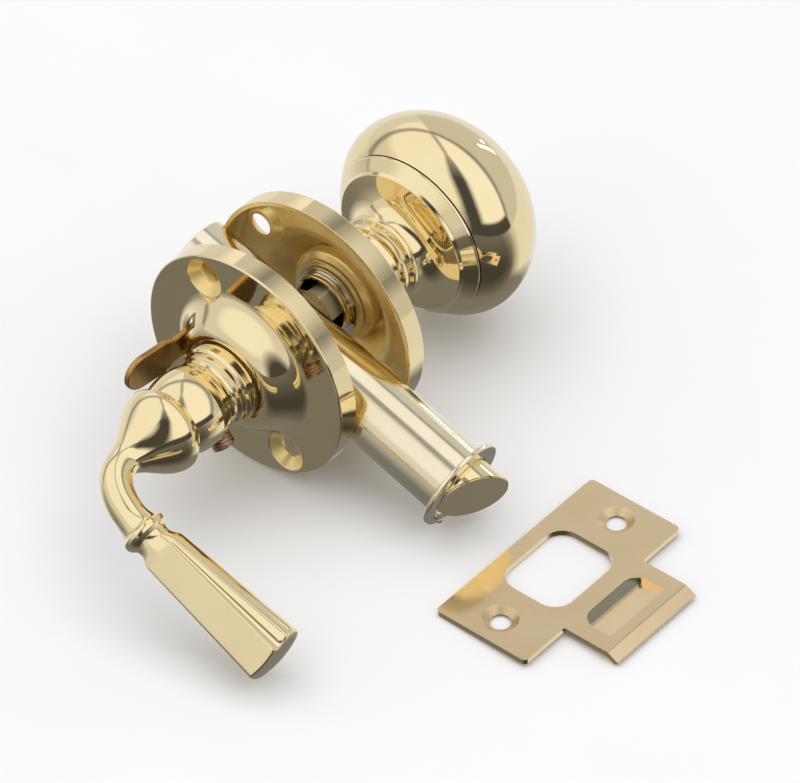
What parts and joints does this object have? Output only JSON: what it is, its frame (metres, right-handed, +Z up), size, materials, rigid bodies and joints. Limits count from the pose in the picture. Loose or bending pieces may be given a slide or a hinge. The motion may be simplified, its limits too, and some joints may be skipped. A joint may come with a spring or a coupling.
{
  "type": "tubular screen door latch set",
  "caption": "Tubular latch set for a screen door: lever and thumb snib with round rosette, knob with round rosette, sprung latch bolt in a tube, square spindle, and a T-shaped lipped strike.",
  "frame": {"origin": "middle of the set's footprint, on the surface it lies on", "axes": "+Y along the spindle from the lever side to the knob side, +X level and towards the latch bolt, +Z up from the surface the set lies on"},
  "size_m": [0.1426, 0.1492, 0.06],
  "materials": {
    "polished_brass": "mirror polish, lacquered",
    "satin_brass": "unpolished, satin",
    "bronzed_brass": "browned, half bright",
    "pale_brass": "drawn tube, fine lengthwise grain",
    "tan_brass": "rolled sheet, soft polish",
    "steel": "zinc plated",
    "dark_steel": "dull, slightly browned",
    "spring_steel": "drawn wire"
  },
  "bodies": {
    "latch_body": {"latch_tube": "pale_brass", "front_flange": "pale_brass", "flange_stake": "steel", "rear_plug": "satin_brass", "inside_rosette": "polished_brass", "outside_rosette": "polished_brass", "inside_bush": "satin_brass", "outside_bush": "satin_brass", "inside_washer": "satin_brass", "outside_washer": "satin_brass", "lock_retainer": "steel", "return_spring": "spring_steel"},
    "handle": {"lever_handle": "polished_brass", "lever_set_screw": "dark_steel", "lever_snap_ring": "steel", "spindle": "pale_brass", "latch_hub": "steel", "knob_shank": "polished_brass", "knob_shell": "polished_brass", "knob_pin": "steel", "knob_snap_ring": "steel"},
    "snib": {"lock_ring": "steel", "snib_lever": "bronzed_brass"},
    "retractor": {"retractor": "steel"},
    "bolt": {"latch_bolt": "polished_brass", "bolt_stem": "steel", "bolt_spring": "spring_steel"},
    "strike": {"strike_plate": "tan_brass"}
  },
  "joints": [
    {"name": "handle_turn", "type": "hinge", "parent": "latch_body", "child": "handle", "pos_m": [-0.03987, 0.00011, 0.03], "axis": [0, -1, 0], "range_deg": [0, 50], "stiffness_Nm_per_rad": 0.35, "springref_deg": -20.05},
    {"name": "snib_turn", "type": "hinge", "parent": "latch_body", "child": "snib", "pos_m": [-0.03987, 0.00011, 0.03], "axis": [0, 1, 0], "range_deg": [0, 22]},
    {"name": "retractor_slide", "type": "slide", "parent": "latch_body", "child": "retractor", "axis": [-0.9576, 0, 0.2882], "range_m": [0, 0.0085], "deforming": ["return_spring"]},
    {"name": "bolt_slide", "type": "slide", "parent": "retractor", "child": "bolt", "axis": [-0.9576, 0, 0.2882], "range_m": [0, 0.0085], "stiffness_N_per_m": 250, "springref_m": -0.012, "deforming": ["bolt_spring"]},
    {"name": "strike_lift", "type": "slide", "parent": "latch_body", "child": "strike", "axis": [0, 0, 1], "range_m": [0, 0.03]}
  ],
  "couplings": [
    {"joint": "retractor_slide", "follows": "handle_turn", "m_per_rad": 0.0097393}
  ]
}
